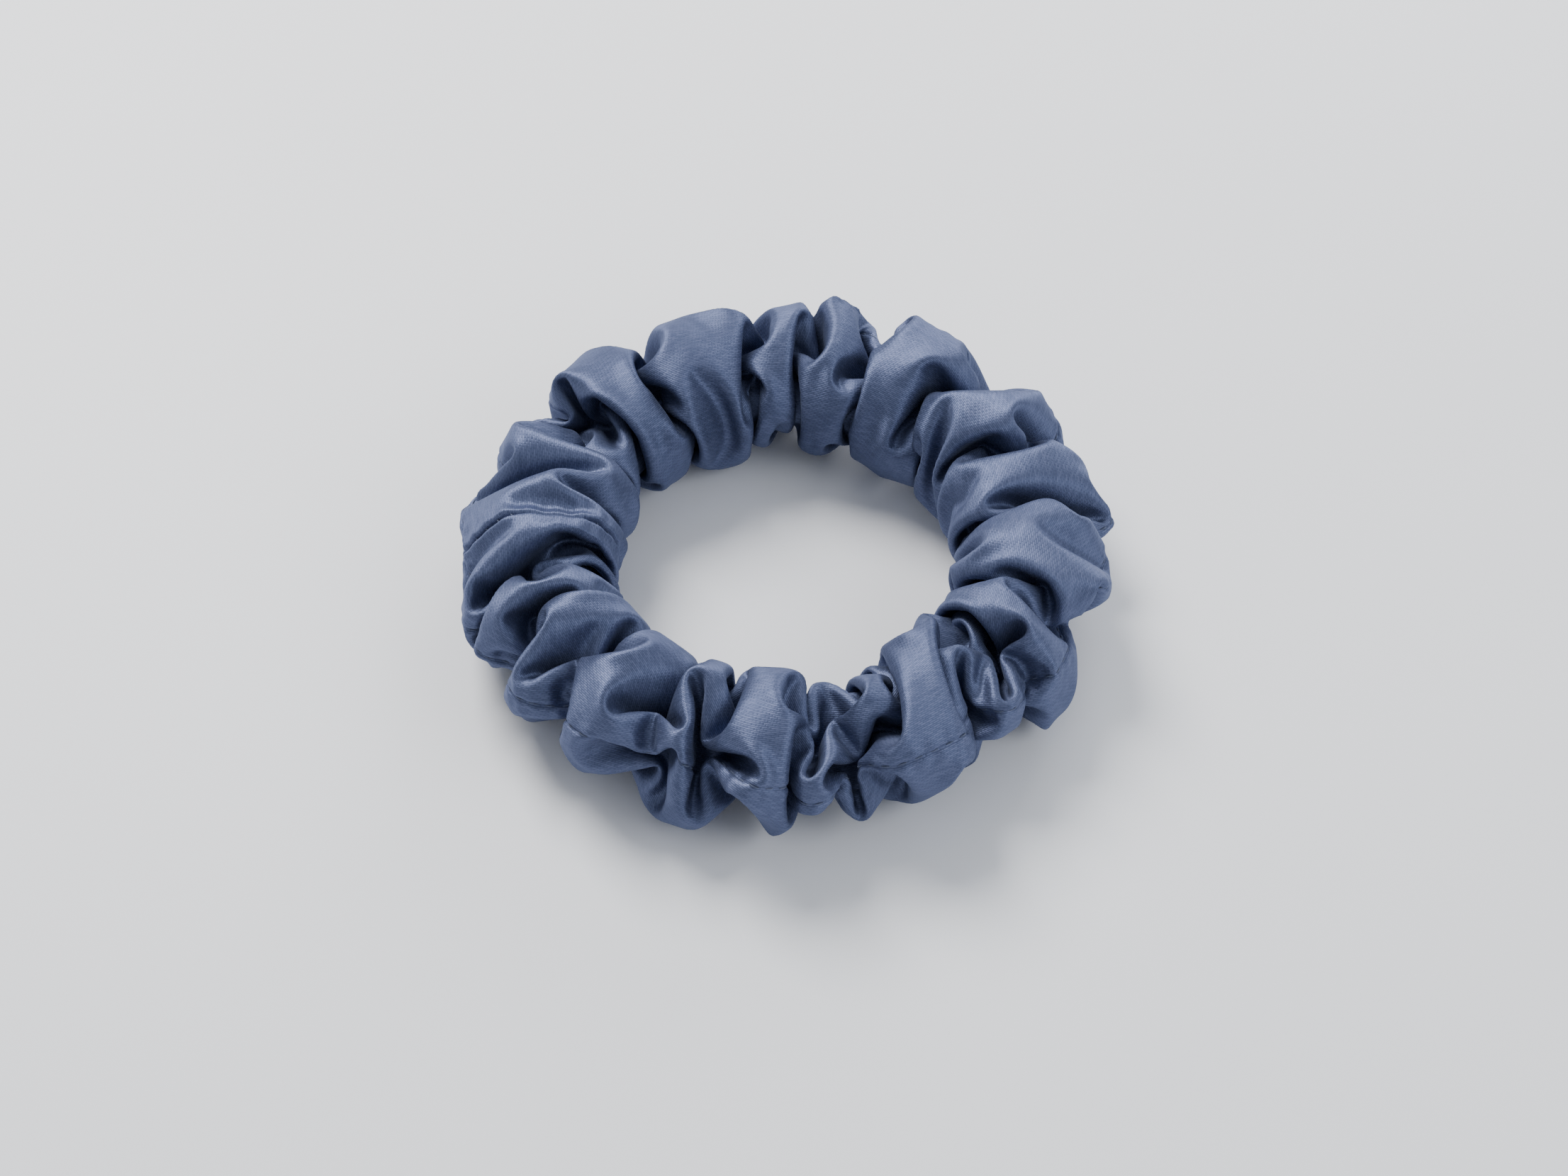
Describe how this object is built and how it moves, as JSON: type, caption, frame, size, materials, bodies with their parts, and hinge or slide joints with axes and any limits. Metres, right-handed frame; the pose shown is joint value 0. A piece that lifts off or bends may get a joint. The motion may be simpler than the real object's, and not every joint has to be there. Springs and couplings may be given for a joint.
{
  "type": "scrunchie",
  "caption": "Satin scrunchie: a seamed tube of fabric gathered into ruffles over a sewn loop of flat elastic, with spring joints that let the ring stretch and return.",
  "frame": {"origin": "middle of the ring, on the surface that the ring rests on", "axes": "+Z along the ring's axis, up from the resting surface; +X to the gather across the ring from the closing seam; the closing seam is on -X"},
  "size_m": [0.1051, 0.1056, 0.0254],
  "materials": {
    "satin": "satin",
    "elastic": "matt braided",
    "seam_thread": "matt",
    "elastic_thread": "matt"
  },
  "bodies": {
    "gather_00": {"sleeve_gather_00": "satin", "elastic_span_00": "elastic", "seam_thread_00": "seam_thread"},
    "gather_01": {"sleeve_gather_01": "satin", "elastic_span_01": "elastic", "seam_thread_01": "seam_thread"},
    "gather_02": {"sleeve_gather_02": "satin", "elastic_span_02": "elastic", "seam_thread_02": "seam_thread"},
    "gather_03": {"sleeve_gather_03": "satin", "elastic_span_03": "elastic", "seam_thread_03": "seam_thread"},
    "gather_04": {"sleeve_gather_04": "satin", "elastic_span_04": "elastic", "seam_thread_04": "seam_thread"},
    "gather_05": {"sleeve_gather_05": "satin", "elastic_span_05": "elastic", "seam_thread_05": "seam_thread"},
    "gather_06": {"sleeve_gather_06": "satin", "elastic_span_06": "elastic", "seam_thread_06": "seam_thread"},
    "gather_07": {"sleeve_gather_07": "satin", "elastic_span_07": "elastic", "seam_thread_07": "seam_thread"},
    "gather_09": {"sleeve_gather_09": "satin", "elastic_span_09": "elastic", "seam_thread_09": "seam_thread"},
    "gather_10": {"sleeve_gather_10": "satin", "elastic_span_10": "elastic", "seam_thread_10": "seam_thread"},
    "gather_11": {"sleeve_gather_11": "satin", "elastic_span_11": "elastic", "seam_thread_11": "seam_thread"},
    "gather_12": {"sleeve_gather_12": "satin", "elastic_span_12": "elastic", "seam_thread_12": "seam_thread"},
    "gather_13": {"sleeve_gather_13": "satin", "elastic_span_13": "elastic", "seam_thread_13": "seam_thread"},
    "gather_14": {"sleeve_gather_14": "satin", "elastic_span_14": "elastic", "seam_thread_14": "seam_thread"},
    "gather_15": {"sleeve_gather_15": "satin", "elastic_span_15": "elastic", "seam_thread_15": "seam_thread"},
    "end_a": {"sleeve_end_a": "satin", "elastic_end_a": "elastic", "seam_thread_end_a": "seam_thread", "elastic_needle_thread": "elastic_thread", "closing_stitch": "seam_thread"},
    "end_b": {"sleeve_end_b": "satin", "elastic_end_b": "elastic", "seam_thread_end_b": "seam_thread", "elastic_bobbin_thread": "elastic_thread"}
  },
  "joints": [
    {"name": "stretch_00_01", "type": "slide", "parent": "gather_00", "child": "gather_01", "axis": [-0.1951, 0.9808, 0], "range_m": [0, 0.01], "stiffness_N_per_m": 150},
    {"name": "stretch_01_02", "type": "slide", "parent": "gather_01", "child": "gather_02", "axis": [-0.5556, 0.8315, 0], "range_m": [0, 0.01], "stiffness_N_per_m": 150},
    {"name": "stretch_02_03", "type": "slide", "parent": "gather_02", "child": "gather_03", "axis": [-0.8315, 0.5556, 0], "range_m": [0, 0.01], "stiffness_N_per_m": 150},
    {"name": "stretch_03_04", "type": "slide", "parent": "gather_03", "child": "gather_04", "axis": [-0.9808, 0.1951, 0], "range_m": [0, 0.01], "stiffness_N_per_m": 150},
    {"name": "stretch_04_05", "type": "slide", "parent": "gather_04", "child": "gather_05", "axis": [-0.9808, -0.1951, 0], "range_m": [0, 0.01], "stiffness_N_per_m": 150},
    {"name": "stretch_05_06", "type": "slide", "parent": "gather_05", "child": "gather_06", "axis": [-0.8315, -0.5556, 0], "range_m": [0, 0.01], "stiffness_N_per_m": 150},
    {"name": "stretch_06_07", "type": "slide", "parent": "gather_06", "child": "gather_07", "axis": [-0.5556, -0.8315, 0], "range_m": [0, 0.01], "stiffness_N_per_m": 150},
    {"name": "stretch_07_end_a", "type": "slide", "parent": "gather_07", "child": "end_a", "axis": [-0.1951, -0.9808, 0], "range_m": [0, 0.01], "stiffness_N_per_m": 150},
    {"name": "stretch_00_15", "type": "slide", "parent": "gather_00", "child": "gather_15", "axis": [-0.1951, -0.9808, 0], "range_m": [0, 0.01], "stiffness_N_per_m": 150},
    {"name": "stretch_15_14", "type": "slide", "parent": "gather_15", "child": "gather_14", "axis": [-0.5556, -0.8315, 0], "range_m": [0, 0.01], "stiffness_N_per_m": 150},
    {"name": "stretch_14_13", "type": "slide", "parent": "gather_14", "child": "gather_13", "axis": [-0.8315, -0.5556, 0], "range_m": [0, 0.01], "stiffness_N_per_m": 150},
    {"name": "stretch_13_12", "type": "slide", "parent": "gather_13", "child": "gather_12", "axis": [-0.9808, -0.1951, 0], "range_m": [0, 0.01], "stiffness_N_per_m": 150},
    {"name": "stretch_12_11", "type": "slide", "parent": "gather_12", "child": "gather_11", "axis": [-0.9808, 0.1951, 0], "range_m": [0, 0.01], "stiffness_N_per_m": 150},
    {"name": "stretch_11_10", "type": "slide", "parent": "gather_11", "child": "gather_10", "axis": [-0.8315, 0.5556, 0], "range_m": [0, 0.01], "stiffness_N_per_m": 150},
    {"name": "stretch_10_09", "type": "slide", "parent": "gather_10", "child": "gather_09", "axis": [-0.5556, 0.8315, 0], "range_m": [0, 0.01], "stiffness_N_per_m": 150},
    {"name": "stretch_09_end_b", "type": "slide", "parent": "gather_09", "child": "end_b", "axis": [-0.1951, 0.9808, 0], "range_m": [0, 0.01], "stiffness_N_per_m": 150}
  ],
  "couplings": [
    {"joint": "stretch_01_02", "follows": "stretch_00_01", "ratio": 1},
    {"joint": "stretch_02_03", "follows": "stretch_00_01", "ratio": 1},
    {"joint": "stretch_03_04", "follows": "stretch_00_01", "ratio": 1},
    {"joint": "stretch_04_05", "follows": "stretch_00_01", "ratio": 1},
    {"joint": "stretch_05_06", "follows": "stretch_00_01", "ratio": 1},
    {"joint": "stretch_06_07", "follows": "stretch_00_01", "ratio": 1},
    {"joint": "stretch_07_end_a", "follows": "stretch_00_01", "ratio": 1},
    {"joint": "stretch_00_15", "follows": "stretch_00_01", "ratio": 1},
    {"joint": "stretch_15_14", "follows": "stretch_00_01", "ratio": 1},
    {"joint": "stretch_14_13", "follows": "stretch_00_01", "ratio": 1},
    {"joint": "stretch_13_12", "follows": "stretch_00_01", "ratio": 1},
    {"joint": "stretch_12_11", "follows": "stretch_00_01", "ratio": 1},
    {"joint": "stretch_11_10", "follows": "stretch_00_01", "ratio": 1},
    {"joint": "stretch_10_09", "follows": "stretch_00_01", "ratio": 1},
    {"joint": "stretch_09_end_b", "follows": "stretch_00_01", "ratio": 1}
  ]
}
